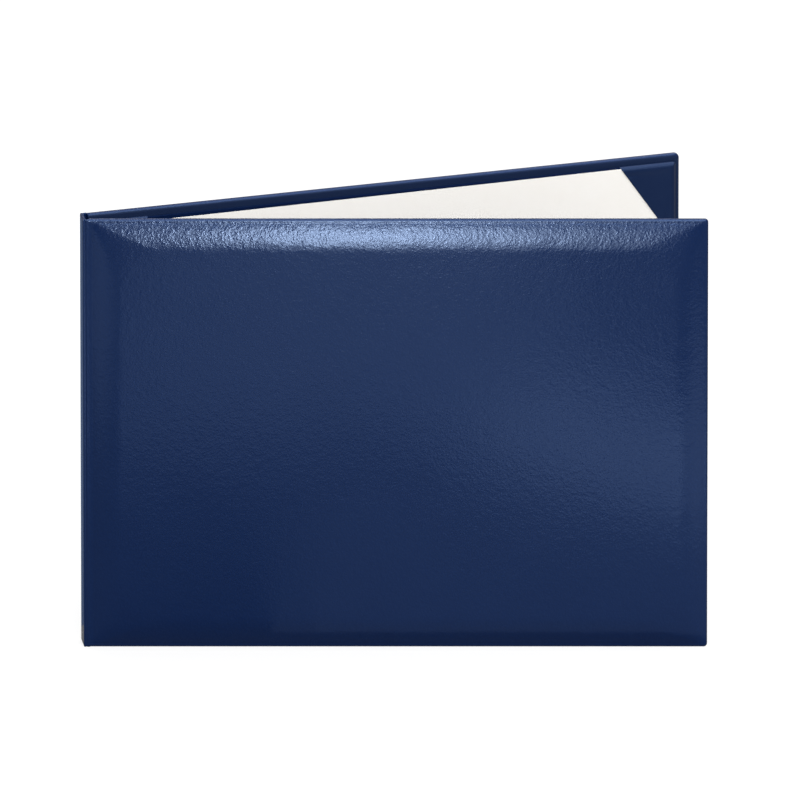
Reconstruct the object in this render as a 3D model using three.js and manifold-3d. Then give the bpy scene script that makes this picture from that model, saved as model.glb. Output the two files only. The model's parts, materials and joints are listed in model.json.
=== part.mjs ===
// A padded diploma cover for one landscape A4 certificate, standing slightly open on its lower edges.
// Two greyboard covers, each with foam on its outer face, are wrapped in one skin of navy leatherette
// that runs across a flat spine. The skin is turned in round the edges, with mitred corners. The front
// cover is lined on the inside, and the back cover carries a card panel. Four triangular pockets are
// folded round the corners of the panel and hold the certificate.
// A rigid model can't fold, so the skin is divided at the two hinge lines, where the spine begins.
// Units are millimetres. +Z is up, +X runs from the spine to the fore edge along the front cover,
// and +Y points from the front cover towards the back cover.

import * as THREE from 'three';
import { mergeVertices } from 'three/addons/utils/BufferGeometryUtils.js';
import Module from 'manifold-3d';

// Certificate, and how it has settled in its pockets
const SHEET_LENGTH = 297;
const SHEET_HEIGHT = 210;
const SHEET_THICKNESS = 0.25;
const SHEET_RAISE = 2.3;
const SHEET_TILT = THREE.MathUtils.degToRad(0.35);

// Materials by thickness, and the glue between them. The skin is pressed thinner at the hinge creases.
const LEATHERETTE = 0.6;
const CREASED_LEATHERETTE = 0.5;
const LINING = 0.4;
const BOARD = 1.8;
const STIFFENER = 0.6;
const PANEL = 1.2;
const POCKET = 0.4;
const GLUE = 0.1;

// Room round the certificate: to the panel's edges, and in front of and behind the sheet
const SHEET_ROOM_IN_LENGTH = 1.5;
const SHEET_ROOM_IN_HEIGHT = 3.5;
const SHEET_PLAY = 0.1;

// Margins round the panel and the lining, where the turned-in skin shows
const MARGIN = 4;
const FORE_MARGIN = 3;
const SPINE_MARGIN = 2;

// Edges and corners of the boards
const BOARD_CORNER_RADIUS = 1.5;
const BOARD_OUTER_ROUNDING = 0.5;
const BOARD_INNER_ROUNDING = 0.1;
const BOARD_SETBACK = 0.5;
const STIFFENER_ROUNDING = 0.1;
const STIFFENER_INSET = 1.4;

// Skin turned in round the edges, cut at 45 degrees in the corners almost to the edge
const TURN_IN = 14;
const MITRE_WIDTH = 0.2;
const MITRE_UNCUT = 2.5;

// Padding: its rise, the width of its rolled edge, how full the roll is, and its plain border
const PAD_LIFT = 3;
const PAD_ROLL = 20;
const PAD_FULLNESS = 2.2;
const PAD_BORDER = 1.7;
const PAD_CORNER_RADIUS = 2.5;
const PAD_CORNER_SPREAD = 8;
const FOAM_SETBACK = 1.5;

// Hinges: opening of the covers at rest, and room for the moving pieces
const OPEN_ANGLE = THREE.MathUtils.degToRad(16.7);
const CLOSED_PLAY = 0.45;
const HINGE_PLAY = 0.3;
const SPINE_PLAY = 0.5;

// Lining of the front cover, where it steps down from the turned-in skin to the board
const STEP_PLAY = 0.3;
const STEP_WIDTH = 0.8;
const STEP_CORNER_RADIUS = 1;

// Panel and pockets
const PANEL_CORNER_RADIUS = 1;
const PANEL_ROUNDING = 0.3;
const POCKET_LENGTH = 29;
const POCKET_HEIGHT = 42.5;
const POCKET_TUCK = 9;

// Facets
const CORNER_STEPS = 5;
const EDGE_STEPS = 3;
const ROLL_STEPS = 9;

// Depths through a cover, counted inwards from the outer plane of its edges
const BOARD_DEPTH = LEATHERETTE + GLUE;
const TURN_IN_DEPTH = BOARD_DEPTH + BOARD + GLUE;
const COVER_THICKNESS = TURN_IN_DEPTH + LEATHERETTE;
const LINING_DEPTH = COVER_THICKNESS + GLUE;
const TUCK_DEPTH = COVER_THICKNESS + GLUE;
const PANEL_DEPTH = TUCK_DEPTH + POCKET + GLUE;
const SHEET_DEPTH = PANEL_DEPTH + PANEL + SHEET_PLAY;
const POCKET_DEPTH = SHEET_DEPTH + SHEET_THICKNESS + SHEET_PLAY;

// Depths through the spine, counted the same way
const SPINE_TURN_IN_DEPTH = BOARD_DEPTH + STIFFENER + GLUE;
const SPINE_WRAP_THICKNESS = SPINE_TURN_IN_DEPTH + LEATHERETTE;
const SPINE_LINING_DEPTH = SPINE_WRAP_THICKNESS + GLUE;
const SPINE_THICKNESS = SPINE_LINING_DEPTH + LINING;

// The closed covers and what they hold fill the spine, and their boards stay clear of its inner face
const SPINE_WIDTH = LINING_DEPTH + LINING + POCKET_DEPTH + POCKET + CLOSED_PLAY;
const LIP_START = LEATHERETTE + HINGE_PLAY;
const WRAP_START = SPINE_THICKNESS + SPINE_PLAY;
const PANEL_START = WRAP_START + SPINE_MARGIN;

// Size of a cover, worked out from the certificate that it holds
const PANEL_LENGTH = SHEET_LENGTH + 2 * SHEET_ROOM_IN_LENGTH;
const PANEL_HEIGHT = SHEET_HEIGHT + 2 * SHEET_ROOM_IN_HEIGHT;
const COVER_LENGTH = PANEL_START + PANEL_LENGTH + FORE_MARGIN;
const COVER_HEIGHT = PANEL_HEIGHT + 2 * MARGIN;

// Cutting tools reach this far past what they cut
const REACH = 10;

// Outlines on a cover's face. Length is counted from the hinge, and height from the middle.
const coverEdges = {
  x0: -REACH,
  x1: COVER_LENGTH,
  z0: -COVER_HEIGHT / 2,
  z1: COVER_HEIGHT / 2,
  corner: BOARD_CORNER_RADIUS + BOARD_DEPTH,
};
const spineEdges = { ...coverEdges, x1: SPINE_WIDTH + REACH };
const panelEdges = {
  x0: PANEL_START,
  x1: PANEL_START + PANEL_LENGTH,
  z0: -PANEL_HEIGHT / 2,
  z1: PANEL_HEIGHT / 2,
  corner: PANEL_CORNER_RADIUS,
};

function inset({ x0, x1, z0, z1, corner }, by) {
  return { x0: x0 + by, x1: x1 - by, z0: z0 + by, z1: z1 - by, corner: corner - by };
}

// Points round a rectangle with rounded corners, at one depth
function ringAt({ x0, x1, z0, z1, corner }, depth) {
  const centres = [
    [x1 - corner, z1 - corner],
    [x1 - corner, z0 + corner],
    [x0 + corner, z0 + corner],
    [x0 + corner, z1 - corner],
  ];
  return centres.flatMap(([x, z], quarter) => {
    const points = [];
    for (let step = 0; step <= CORNER_STEPS; step += 1) {
      const angle = (quarter + step / CORNER_STEPS) * Math.PI / 2;
      points.push(new THREE.Vector3(x + corner * Math.sin(angle), depth, z + corner * Math.cos(angle)));
    }
    return points;
  });
}

// Solids
const wasm = await Module();
wasm.setup();

function solidOf(geometry) {
  const bare = new THREE.BufferGeometry();
  bare.setAttribute('position', geometry.getAttribute('position'));
  bare.setIndex(geometry.index);
  const merged = mergeVertices(bare, 1e-4);
  return new wasm.Manifold(new wasm.Mesh({
    numProp: 3,
    vertProperties: merged.attributes.position.array,
    triVerts: new Uint32Array(merged.index.array),
  }));
}

function geometryOf(solid) {
  const mesh = solid.getMesh();
  const shared = new THREE.BufferGeometry();
  shared.setAttribute('position', new THREE.BufferAttribute(new Float32Array(mesh.vertProperties), 3));
  shared.setIndex(new THREE.BufferAttribute(new Uint32Array(mesh.triVerts), 1));
  const geometry = shared.toNonIndexed();
  geometry.computeVertexNormals();
  return geometry;
}

// A closed solid through a stack of rings, each with as many points, ordered from the outside inwards
function loft(rings) {
  const count = rings[0].length;
  const last = (rings.length - 1) * count;
  const index = [];
  for (let ring = 0; ring < last; ring += count) {
    for (let i = 0; i < count; i += 1) {
      const a = ring + i;
      const b = ring + (i + 1) % count;
      index.push(a, b, b + count, a, b + count, a + count);
    }
  }
  for (let i = 1; i < count - 1; i += 1) {
    index.push(0, i + 1, i);
    index.push(last, last + i, last + i + 1);
  }
  const geometry = new THREE.BufferGeometry().setFromPoints(rings.flat());
  geometry.setIndex(index);
  return solidOf(geometry);
}

// A plate between two depths, with square edges
function squarePlate(edges, outer, inner) {
  return loft([ringAt(edges, outer), ringAt(edges, inner)]);
}

// A plate between two depths, with its edges rounded on the outside and on the inside
function roundedPlate(edges, outer, outerRounding, inner, innerRounding) {
  const rings = [];
  for (let step = 0; step <= EDGE_STEPS; step += 1) {
    const angle = step / EDGE_STEPS * Math.PI / 2;
    const by = outerRounding * (1 - Math.sin(angle));
    rings.push(ringAt(inset(edges, by), outer + outerRounding * (1 - Math.cos(angle))));
  }
  for (let step = 0; step <= EDGE_STEPS; step += 1) {
    const angle = step / EDGE_STEPS * Math.PI / 2;
    const by = innerRounding * (1 - Math.cos(angle));
    rings.push(ringAt(inset(edges, by), inner - innerRounding * (1 - Math.sin(angle))));
  }
  return loft(rings);
}

// A block between two corners
function block([x0, y0, z0], [x1, y1, z1]) {
  const box = new THREE.BoxGeometry(x1 - x0, y1 - y0, z1 - z0);
  box.translate((x0 + x1) / 2, (y0 + y1) / 2, (z0 + z1) / 2);
  return solidOf(box);
}

// A block over the whole height of the cover, for cutting along the hinge lines
function upright(x0, x1, y0, y1) {
  return block([x0, y0, -COVER_HEIGHT / 2 - REACH], [x1, y1, COVER_HEIGHT / 2 + REACH]);
}

// The form of a wrapped board at some depth under the skin: its outside, its cavity or the board itself
function coverForm(depth) {
  const skinOver = BOARD_DEPTH - depth;
  return roundedPlate(
    inset(coverEdges, depth),
    depth,
    BOARD_OUTER_ROUNDING + skinOver,
    COVER_THICKNESS - depth,
    BOARD_INNER_ROUNDING + skinOver,
  );
}

function spineForm(depth) {
  const rounding = STIFFENER_ROUNDING + BOARD_DEPTH - depth;
  return roundedPlate(inset(spineEdges, depth), depth, rounding, SPINE_WRAP_THICKNESS - depth, rounding);
}

// The pad's outline, from the foot of its rolled edge at 0 to the flat of its face at 1
function padEdges(share) {
  const border = PAD_BORDER + share * PAD_ROLL;
  return {
    x0: WRAP_START + border,
    x1: COVER_LENGTH - border,
    z0: border - COVER_HEIGHT / 2,
    z1: COVER_HEIGHT / 2 - border,
    corner: PAD_CORNER_RADIUS + share * PAD_CORNER_SPREAD,
  };
}

// The pad's swelling at some depth under the skin, rooted a little way into the wrapped board
function padForm(depth) {
  const rings = [];
  for (let step = ROLL_STEPS; step >= 0; step -= 1) {
    const share = step / ROLL_STEPS;
    const lift = PAD_LIFT * (1 - (1 - share) ** PAD_FULLNESS);
    rings.push(ringAt(padEdges(share), depth - lift));
  }
  rings.push(ringAt(padEdges(0), depth + LEATHERETTE / 2));
  return loft(rings);
}

// The window that the turned-in skin leaves open on the inside
function turnInWindow(x1, depth) {
  const halfHeight = COVER_HEIGHT / 2 - TURN_IN;
  return block([-2 * REACH, depth - GLUE, -halfHeight], [x1, depth + REACH, halfHeight]);
}

// The fine cut where two turn-ins meet, on the top or the bottom corner of the fore edge
function mitreCut(side) {
  const length = (TURN_IN + 1 - MITRE_UNCUT) * Math.SQRT2;
  const middle = (TURN_IN + 1 + MITRE_UNCUT) / 2;
  const cut = new THREE.BoxGeometry(length, LEATHERETTE + 2 * GLUE, MITRE_WIDTH);
  cut.rotateY(-side * Math.PI / 4);
  cut.translate(COVER_LENGTH - middle, TURN_IN_DEPTH + LEATHERETTE / 2, side * (COVER_HEIGHT / 2 - middle));
  return solidOf(cut);
}

// One cover's skin: over the pad, round the three free edges, and as a thin lip towards the spine
function coverSkin() {
  const outside = coverForm(0).add(padForm(0));
  const inside = coverForm(LEATHERETTE).add(padForm(LEATHERETTE));
  return outside
    .subtract(inside)
    .subtract(turnInWindow(COVER_LENGTH - TURN_IN, TURN_IN_DEPTH))
    .subtract(mitreCut(1))
    .subtract(mitreCut(-1))
    .subtract(upright(-2 * REACH, LIP_START, -REACH, REACH))
    .subtract(upright(-2 * REACH, WRAP_START, CREASED_LEATHERETTE, REACH));
}

function coverBoard() {
  return coverForm(BOARD_DEPTH).subtract(upright(-2 * REACH, WRAP_START + BOARD_SETBACK, -REACH, REACH));
}

// The foam sheet on the board, with its edges shaved to a roll
function coverPadding() {
  const edges = padEdges(FOAM_SETBACK / PAD_ROLL);
  return padForm(BOARD_DEPTH).intersect(squarePlate(edges, -PAD_LIFT - REACH, LEATHERETTE));
}

// The lining of the front cover: it lies on the turned-in skin at its edges and on the board inside them
function coverLining() {
  const stepEdges = (slope) => ({
    ...inset(coverEdges, TURN_IN + STEP_PLAY + slope),
    x0: -REACH,
    corner: STEP_CORNER_RADIUS,
  });
  const well = (from) => loft([
    ringAt(stepEdges(STEP_WIDTH), TURN_IN_DEPTH + from),
    ringAt(stepEdges(0), LINING_DEPTH + from),
    ringAt(stepEdges(0), LINING_DEPTH + from + LINING),
  ]);
  return squarePlate(panelEdges, LINING_DEPTH, LINING_DEPTH + LINING)
    .add(well(0))
    .subtract(well(LINING))
    .intersect(squarePlate(panelEdges, 0, LINING_DEPTH + REACH));
}

function panel() {
  return roundedPlate(panelEdges, PANEL_DEPTH, PANEL_ROUNDING, PANEL_DEPTH + PANEL, PANEL_ROUNDING);
}

// The pocket cloth folded all round the panel, before it is cut down to the four corners
function pocketWrap() {
  const rounding = PANEL_ROUNDING + GLUE;
  const outside = roundedPlate(
    inset(panelEdges, -GLUE - POCKET),
    TUCK_DEPTH,
    rounding + POCKET,
    POCKET_DEPTH + POCKET,
    rounding + POCKET,
  );
  const inside = roundedPlate(
    inset(panelEdges, -GLUE),
    TUCK_DEPTH + POCKET,
    rounding,
    POCKET_DEPTH,
    rounding,
  );
  const { x0, x1, z0, z1 } = inset(panelEdges, POCKET_TUCK);
  const back = block([x0, TUCK_DEPTH - REACH, z0], [x1, TUCK_DEPTH + POCKET + GLUE, z1]);
  return outside.subtract(inside).subtract(back);
}

// One pocket: the wrap on the near side of a diagonal across a corner of the panel.
// Its long side is 1 at the fore edge and 0 at the spine, and its high side is 1 or -1.
function pocket(atFore, side) {
  const corner = new THREE.Vector2(atFore ? panelEdges.x1 : panelEdges.x0, side * PANEL_HEIGHT / 2);
  const out = atFore ? 1 : -1;
  const points = [
    [out * REACH, side * REACH],
    [out * REACH, -side * POCKET_HEIGHT * (1 + REACH / POCKET_LENGTH)],
    [-out * POCKET_LENGTH * (1 + REACH / POCKET_HEIGHT), side * REACH],
  ];
  const ordered = out * side > 0 ? points : points.reverse();
  const ring = (depth) => ordered.map(([x, z]) => new THREE.Vector3(corner.x + x, depth, corner.y + z));
  return pocketWrap().intersect(loft([ring(0), ring(POCKET_DEPTH + REACH)]));
}

// The spine's skin: as wide as the spine on the outside, and narrower where it is turned in
function spineSkin() {
  return spineForm(0)
    .subtract(spineForm(LEATHERETTE))
    .subtract(turnInWindow(SPINE_WIDTH + 2 * REACH, SPINE_TURN_IN_DEPTH))
    .subtract(upright(-2 * REACH, 0, -REACH, REACH))
    .subtract(upright(SPINE_WIDTH, SPINE_WIDTH + 2 * REACH, -REACH, REACH))
    .subtract(upright(-2 * REACH, LIP_START, CREASED_LEATHERETTE, REACH))
    .subtract(upright(SPINE_WIDTH - LIP_START, SPINE_WIDTH + 2 * REACH, CREASED_LEATHERETTE, REACH));
}

function spineStiffener() {
  return spineForm(BOARD_DEPTH).intersect(upright(STIFFENER_INSET, SPINE_WIDTH - STIFFENER_INSET, 0, REACH));
}

function spineLining() {
  const halfHeight = COVER_HEIGHT / 2 - MARGIN;
  return block(
    [STIFFENER_INSET, SPINE_LINING_DEPTH, -halfHeight],
    [SPINE_WIDTH - STIFFENER_INSET, SPINE_LINING_DEPTH + LINING, halfHeight],
  );
}

// Finishes
function finish(color, roughness) {
  return () => new THREE.MeshStandardMaterial({ color, roughness, metalness: 0 });
}

const leatherette = finish(0x1b2c57, 0.42);
const greyboard = finish(0x8a857b, 0.9);
const foam = finish(0xe9e4d6, 1);
const liningCloth = finish(0x182a50, 0.7);
const ivoryPaper = finish(0xf5f2eb, 0.85);

function piece(name, solid, material) {
  const mesh = new THREE.Mesh(geometryOf(solid), material());
  mesh.name = name;
  return mesh;
}

// Front cover, with its outer face towards -Y
const frontCover = new THREE.Group();
frontCover.add(
  piece('front_skin', coverSkin(), leatherette),
  piece('front_board', coverBoard(), greyboard),
  piece('front_padding', coverPadding(), foam),
  piece('front_lining', coverLining(), liningCloth),
);

// Back cover: the same wrapped board turned over, so that its top is on the side of local -Z
const backCover = new THREE.Group();
backCover.add(
  piece('back_skin', coverSkin(), leatherette),
  piece('back_board', coverBoard(), greyboard),
  piece('back_padding', coverPadding(), foam),
  piece('back_panel', panel(), liningCloth),
  piece('pocket_top_fore', pocket(true, -1), liningCloth),
  piece('pocket_bottom_fore', pocket(true, 1), liningCloth),
  piece('pocket_top_spine', pocket(false, -1), liningCloth),
  piece('pocket_bottom_spine', pocket(false, 1), liningCloth),
);

const sheetGeometry = new THREE.BoxGeometry(SHEET_LENGTH, SHEET_THICKNESS, SHEET_HEIGHT);
const sheet = new THREE.Mesh(sheetGeometry, ivoryPaper());
sheet.name = 'certificate_sheet';
sheet.position.set(PANEL_START + PANEL_LENGTH / 2, SHEET_DEPTH + SHEET_THICKNESS / 2, -SHEET_RAISE);
sheet.rotation.y = SHEET_TILT;
backCover.add(sheet);

// Spine
const spine = new THREE.Group();
spine.add(
  piece('spine_skin', spineSkin(), leatherette),
  piece('spine_stiffener', spineStiffener(), greyboard),
  piece('spine_lining', spineLining(), liningCloth),
);

// The covers open by the same angle at both hinge lines. The front hinge line is at the origin.
const spineAngle = Math.PI / 2 + OPEN_ANGLE / 2;
spine.rotation.set(Math.PI, 0, spineAngle, 'ZYX');
backCover.rotation.set(Math.PI, 0, OPEN_ANGLE, 'ZYX');
backCover.position.set(SPINE_WIDTH * Math.cos(spineAngle), SPINE_WIDTH * Math.sin(spineAngle), 0);

const model = new THREE.Group();
model.add(frontCover, spine, backCover);

// The origin lies under the middle of the whole, on the surface that the cover stands on
const box = new THREE.Box3().setFromObject(model, true);
const middle = box.getCenter(new THREE.Vector3());
model.position.set(-middle.x, -middle.y, -box.min.z);

export default model;
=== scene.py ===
# %% [markdown]
# A padded diploma cover
# A diploma cover is bookbinder's work: two greyboards with thin foam on their outer faces, wrapped in one
# skin of leatherette that runs across a flat spine. The solids come from CAD, and this lesson dresses them.
# Each step makes one piece in mesh code, in the place that the CAD frame gives it, or one finish from nodes.
# The frame is loaded first and never moved, so that a hinge or an edge is where the solids have it.

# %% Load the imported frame
import json
import math

import bpy
from mathutils import Matrix, Vector, noise


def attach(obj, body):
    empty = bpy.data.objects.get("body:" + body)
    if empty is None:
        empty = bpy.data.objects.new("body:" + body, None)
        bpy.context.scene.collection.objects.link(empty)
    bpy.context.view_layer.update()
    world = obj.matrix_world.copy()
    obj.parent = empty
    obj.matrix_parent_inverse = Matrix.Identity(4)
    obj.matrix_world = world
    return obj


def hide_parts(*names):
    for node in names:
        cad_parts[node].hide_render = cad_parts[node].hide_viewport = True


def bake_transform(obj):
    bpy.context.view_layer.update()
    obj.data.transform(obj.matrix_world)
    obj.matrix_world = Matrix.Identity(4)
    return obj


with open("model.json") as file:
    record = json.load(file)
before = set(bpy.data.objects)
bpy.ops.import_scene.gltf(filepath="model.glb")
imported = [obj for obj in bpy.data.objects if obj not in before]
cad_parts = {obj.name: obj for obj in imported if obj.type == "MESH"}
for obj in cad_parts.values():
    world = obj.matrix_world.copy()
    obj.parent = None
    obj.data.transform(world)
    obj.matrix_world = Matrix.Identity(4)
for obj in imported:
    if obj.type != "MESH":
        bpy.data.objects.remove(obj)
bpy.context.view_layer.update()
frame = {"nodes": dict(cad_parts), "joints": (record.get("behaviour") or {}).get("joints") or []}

MM = 0.001

# %% [markdown]
# The camera
# The product is seen from straight in front and a little from above, through a very long lens: its vertical
# edges stay parallel. A long lens far away gives that and is still a perspective camera. The aim point and
# the height of the camera were found from the size of the front cover and the rise of its turned-back cover.

# %% Place the camera
ELEVATION = math.radians(20.45)
LENS = 1650.0
SENSOR = 36.0
VIEW_WIDTH = 0.3944
AIM = Vector((0.00295, -0.0475, 0.1303))

lens = bpy.data.cameras.new("camera")
lens.lens = LENS
lens.sensor_width = SENSOR
lens.clip_end = 100.0
camera = bpy.data.objects.new("camera", lens)
towards_camera = Vector((0.0, -math.cos(ELEVATION), math.sin(ELEVATION)))
camera.location = AIM + towards_camera * (VIEW_WIDTH * LENS / SENSOR)
camera.rotation_euler = (-towards_camera).to_track_quat("-Z", "Y").to_euler()
bpy.context.scene.collection.objects.link(camera)
bpy.context.scene.camera = camera
bpy.context.scene.view_settings.view_transform = "Standard"
print("the camera stands", round((camera.location - AIM).length, 2), "m from the cover")

# %% [markdown]
# Shader maths
# Shader nodes are hard to read as a list of links, so a material is written as Python expressions. A small
# class holds one socket, and its operators add Math nodes. Everything else comes from one method that adds a
# node of any type. Colours and vectors go through Mix and Vector Math, because a Math node makes them grey.

# %% Make the shader helper
class Wire:
    """One output socket, on which Python's operators add Math nodes."""

    def __init__(self, finish, socket):
        self.finish = finish
        self.socket = socket

    def math(self, operation, *values):
        return self.finish.node("ShaderNodeMath", {"operation": operation}, dict(enumerate(values)))

    def __add__(self, other):
        return self.math("ADD", self, other)

    def __sub__(self, other):
        return self.math("SUBTRACT", self, other)

    def __rsub__(self, other):
        return self.math("SUBTRACT", other, self)

    def __mul__(self, other):
        return self.math("MULTIPLY", self, other)

    def __pow__(self, other):
        return self.math("POWER", self, other)

    __radd__ = __add__
    __rmul__ = __mul__


class Finish:
    """A material or the world that is being wired."""

    def __init__(self, owner):
        self.owner = owner
        owner.use_nodes = True
        self.tree = owner.node_tree
        self.tree.nodes.clear()

    def node(self, kind, settings=None, sockets=None, out=0):
        """Adds a node: its settings first, then the values or wires of its sockets."""
        node = self.tree.nodes.new(kind)
        for name, value in (settings or {}).items():
            if name == "stops":
                for stop, (position, shade) in zip(node.color_ramp.elements, value):
                    stop.position = position
                    stop.color = (shade, shade, shade, 1.0)
            else:
                setattr(node, name, value)
        for name, value in (sockets or {}).items():
            if isinstance(value, Wire):
                self.tree.links.new(value.socket, node.inputs[name])
            else:
                node.inputs[name].default_value = value
        return Wire(self, node.outputs[out]) if node.outputs else node


def rgb(red, green, blue):
    """A linear colour with full cover."""
    return (red, green, blue, 1.0)


print("shader helper ready")

# %% [markdown]
# Floor and background
# The floor is a plain pale sheet. What the camera sees of it is lifted to white with Light Path, so that the
# light on the object stays at a plain level, and part of its own shading is kept for the object's shadow.
# Leatherette is a soft mirror, so the floor's brightness also sets how dark its navy can look.

# %% Lay the floor and paint the background
FLOOR_SIZE = 80.0
FLOOR_GREY = 0.27
FLOOR_LIFT = 0.71
GLOSS_LIFT = 0.05
SKY_GLOSS = 0.0
WORLD_LEVEL = 0.32


def background_share(made, glossy):
    """How much of the white background a ray sees: all of it for the camera, and a part for a dull mirror."""
    seen = made.node("ShaderNodeLightPath", out="Is Camera Ray")
    mirrored = made.node("ShaderNodeLightPath", out="Is Glossy Ray")
    through = made.node("ShaderNodeLightPath", out="Is Transmission Ray")
    return seen + mirrored * glossy + through


floor_finish = Finish(bpy.data.materials.new("pale_floor"))
share = background_share(floor_finish, GLOSS_LIFT)
matt = floor_finish.node("ShaderNodeBsdfDiffuse", {}, {"Color": rgb(FLOOR_GREY, FLOOR_GREY, FLOOR_GREY)})
lift = floor_finish.node("ShaderNodeEmission", {}, {"Color": rgb(1, 1, 1), "Strength": share * FLOOR_LIFT})
both = floor_finish.node("ShaderNodeAddShader", {}, {0: matt, 1: lift})
floor_finish.node("ShaderNodeOutputMaterial", {}, {"Surface": both})

floor_mesh = bpy.data.meshes.new("floor")
half = FLOOR_SIZE / 2
floor_mesh.from_pydata([(-half, -half, 0), (half, -half, 0), (half, half, 0), (-half, half, 0)], [], [(0, 1, 2, 3)])
floor_mesh.materials.append(floor_finish.owner)
floor = bpy.data.objects.new("floor", floor_mesh)
bpy.context.scene.collection.objects.link(floor)

world = bpy.data.worlds.new("studio")
bpy.context.scene.world = world
sky = Finish(world)
level = background_share(sky, SKY_GLOSS) * (1.0 - WORLD_LEVEL) + WORLD_LEVEL
around = sky.node("ShaderNodeBackground", {}, {"Color": rgb(1, 1, 1), "Strength": level})
sky.node("ShaderNodeOutputWorld", {}, {"Surface": around})
print("floor", FLOOR_SIZE, "m square")

# %% [markdown]
# Light
# Soft panels light the cover. A tall narrow panel straight in front is seen only by the rolled edge of the padding,
# which tips upwards, and draws the bright band under the top edge. Two cards that lie on the floor in front are what
# the flat face mirrors, and give the broad sheen that fades towards the lower left. The key panel stands above the
# camera, where the flat face doesn't mirror it, and lights the sheet and the navy alike. A panel behind does the same
# for the back. An area lamp's watts are worked out from the brightness of its face.

# %% Hang the soft panels
WATTS_PER_RADIANCE = math.pi
WARM = (1.0, 0.87, 0.70)


def soft_panel(name, place, width, height, radiance, target=None, turn=0.0, tint=(1.0, 1.0, 1.0), mirrored=False):
    """An area lamp whose face has one brightness, where 1 is white paper in the picture. It faces its target, or up."""
    lamp = bpy.data.lights.new(name, "AREA")
    lamp.shape = "RECTANGLE"
    lamp.size = width
    lamp.size_y = height
    lamp.energy = radiance * WATTS_PER_RADIANCE * width * height
    lamp.color = tint
    holder = bpy.data.objects.new(name, lamp)
    holder.location = place
    if target is None:
        holder.rotation_euler = (math.pi, 0.0, math.radians(turn))
    else:
        holder.rotation_euler = (Vector(target) - Vector(place)).to_track_quat("-Z", "Y").to_euler()
    holder.visible_camera = False
    holder.visible_diffuse = not mirrored
    bpy.context.scene.collection.objects.link(holder)
    return holder


soft_panel("key_panel", (0.35, -2.2, 1.75), 1.7, 1.2, 9.5, target=(0.0, 0.0, 0.15))
soft_panel("band_panel", (-0.024, -0.78, 0.29), 0.050, 0.26, 70.0, target=(-0.024, 0.0, 0.22), tint=WARM, mirrored=True)
soft_panel("wide_band_panel", (0.024, -0.78, 0.29), 0.16, 0.25, 9.5, target=(0.024, 0.0, 0.22), tint=WARM, mirrored=True)
soft_panel("band_foot_panel", (0.025, -0.78, 0.112), 0.18, 0.10, 7.0, target=(0.025, 0.0, 0.22), tint=WARM, mirrored=True)
soft_panel("top_panel", (0.32, -0.35, 1.5), 1.2, 1.3, 3.3, target=(0.32, -0.34, 0.0))
soft_panel("sheen_card", (-0.03, -0.63, 0.001), 0.24, 0.44, 0.70, mirrored=True)
soft_panel("near_card", (-0.045, -0.375, 0.002), 0.28, 0.07, 0.95, mirrored=True)
soft_panel("right_card", (0.128, -0.319, 0.003), 0.17, 0.12, 1.9, turn=32.0, mirrored=True)
soft_panel("left_wing", (-0.415, -0.51, 0.002), 0.34, 0.27, 0.75, turn=30.0, mirrored=True)
soft_panel("right_wing", (0.31, -0.31, 0.001), 0.24, 0.16, 1.1, turn=-30.0, mirrored=True)
soft_panel("low_card", (0.14, -0.157, 0.001), 0.40, 0.20, 0.22, mirrored=True)
soft_panel("low_right_card", (0.135, -0.157, 0.002), 0.35, 0.20, 0.10, mirrored=True)
soft_panel("rim_panel", (0.50, 0.85, 1.25), 0.75, 0.80, 3.3, target=(0.12, 0.0, 0.225))
soft_panel("rear_panel", (-0.9, 2.0, 2.4), 1.8, 1.2, 6.0, target=(0.0, 0.0, 0.1))

flag_finish = Finish(bpy.data.materials.new("dark_flag"))
dull = flag_finish.node("ShaderNodeBsdfDiffuse", {}, {"Color": rgb(0.12, 0.17, 0.28)})
flag_finish.node("ShaderNodeOutputMaterial", {}, {"Surface": dull})
flag_mesh = bpy.data.meshes.new("dark_flag")
flag_corners = [(-0.56, -0.02, 0.0006), (-0.10, -0.02, 0.0006), (-0.10, 0.72, 0.0006), (-0.56, 0.72, 0.0006)]
flag_mesh.from_pydata(flag_corners, [], [(0, 1, 2, 3)])
flag_mesh.materials.append(flag_finish.owner)
flag = bpy.data.objects.new("dark_flag", flag_mesh)
flag.visible_camera = False
flag.visible_diffuse = False
flag.visible_shadow = False
bpy.context.scene.collection.objects.link(flag)
print("14 soft panels and a flag")

# %% [markdown]
# Leatherette
# Leatherette is cloth coated with vinyl and pressed against a grained roller. Its grain is a net of low pebbles
# about a millimetre across, over a slower unevenness where the skin was stretched by hand. Both are bump, at
# their real heights, because they are too small for the mesh. The vinyl is satin, and its reflection is
# tinted blue by the thin lacquer. The valleys are a little darker and duller than the tops.

# %% Mix the leatherette
NAVY = (0.0009, 0.0085, 0.0480)
NAVY_WORN = (0.0018, 0.0112, 0.0565)
LACQUER_TINT = (0.37, 0.56, 1.0)
PEBBLE = 1.15 * MM
PEBBLE_HEIGHT = 0.024 * MM
STRETCH = 2.6 * MM
STRETCH_HEIGHT = 0.10 * MM


def principled(made, varying, constants):
    """The one surface shader: what varies is linked, and what is the same all over is set on its socket."""
    surface = made.node("ShaderNodeBsdfPrincipled", {}, {**varying, **constants})
    made.node("ShaderNodeOutputMaterial", {}, {"Surface": surface})
    return made.owner


def bump(made, height, distance, below=None):
    """Raises a height from 0 to 1 by a real distance."""
    sockets = {"Height": height, "Distance": distance, "Strength": 1.0}
    if below is not None:
        sockets["Normal"] = below
    return made.node("ShaderNodeBump", {}, sockets)


def blend_colours(made, share, first, second):
    """A colour between two others."""
    settings = {"data_type": "RGBA", "clamp_factor": True}
    return made.node("ShaderNodeMix", settings, {"Factor": share, 6: rgb(*first), 7: rgb(*second)}, out=2)


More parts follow.
